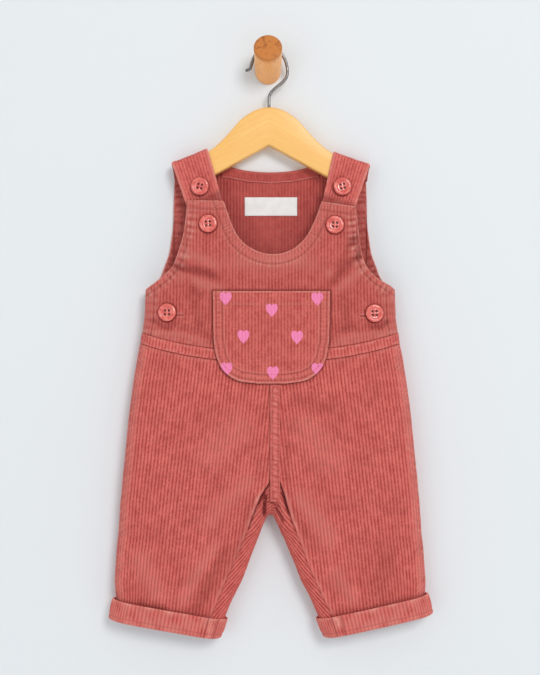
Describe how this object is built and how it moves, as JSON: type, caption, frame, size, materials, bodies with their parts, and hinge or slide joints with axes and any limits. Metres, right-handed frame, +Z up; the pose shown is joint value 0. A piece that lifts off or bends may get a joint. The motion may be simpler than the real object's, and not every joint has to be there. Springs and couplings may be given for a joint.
{
  "type": "baby dungarees on a wooden hanger and wall peg",
  "caption": "Sleeveless baby dungarees in wide rib cord with a bib, a pouch pocket and turned-up cuffs, hung on a wooden hanger that hooks over a round wall peg.",
  "frame": {"origin": "centre of the peg's flat end, on the wall plane", "axes": "+Z up, +Y into the wall, the garment's front faces -Y"},
  "size_m": [0.3041, 0.0457, 0.5625],
  "materials": {
    "cord_coral": "wide rib cotton cord, matt pile",
    "button_coral": "polished, slightly pearly",
    "label_white": "woven satin ribbon",
    "hanger_beech": "pale wood under satin varnish",
    "hook_steel": "bright plated wire",
    "peg_oak": "oiled wood, blotchy grain"
  },
  "bodies": {
    "root": {"bib_front": "cord_coral", "bib_back": "cord_coral", "waistband_front": "cord_coral", "waistband_back": "cord_coral", "trouser_front_left": "cord_coral", "trouser_front_right": "cord_coral", "trouser_back_left": "cord_coral", "trouser_back_right": "cord_coral", "inleg_left": "cord_coral", "inleg_right": "cord_coral", "centre_front_fell": "cord_coral", "cuff_left": "cord_coral", "cuff_right": "cord_coral", "strap_left": "cord_coral", "strap_right": "cord_coral", "pocket": "cord_coral", "neck_facing_back": "cord_coral", "label": "label_white", "button_strap_left": "button_coral", "button_strap_right": "button_coral", "button_tab_left": "button_coral", "button_tab_right": "button_coral", "button_side_left": "button_coral", "button_side_right": "button_coral", "hanger_wood": "hanger_beech", "hanger_hook": "hook_steel", "wall_peg": "peg_oak"}
  },
  "joints": []
}
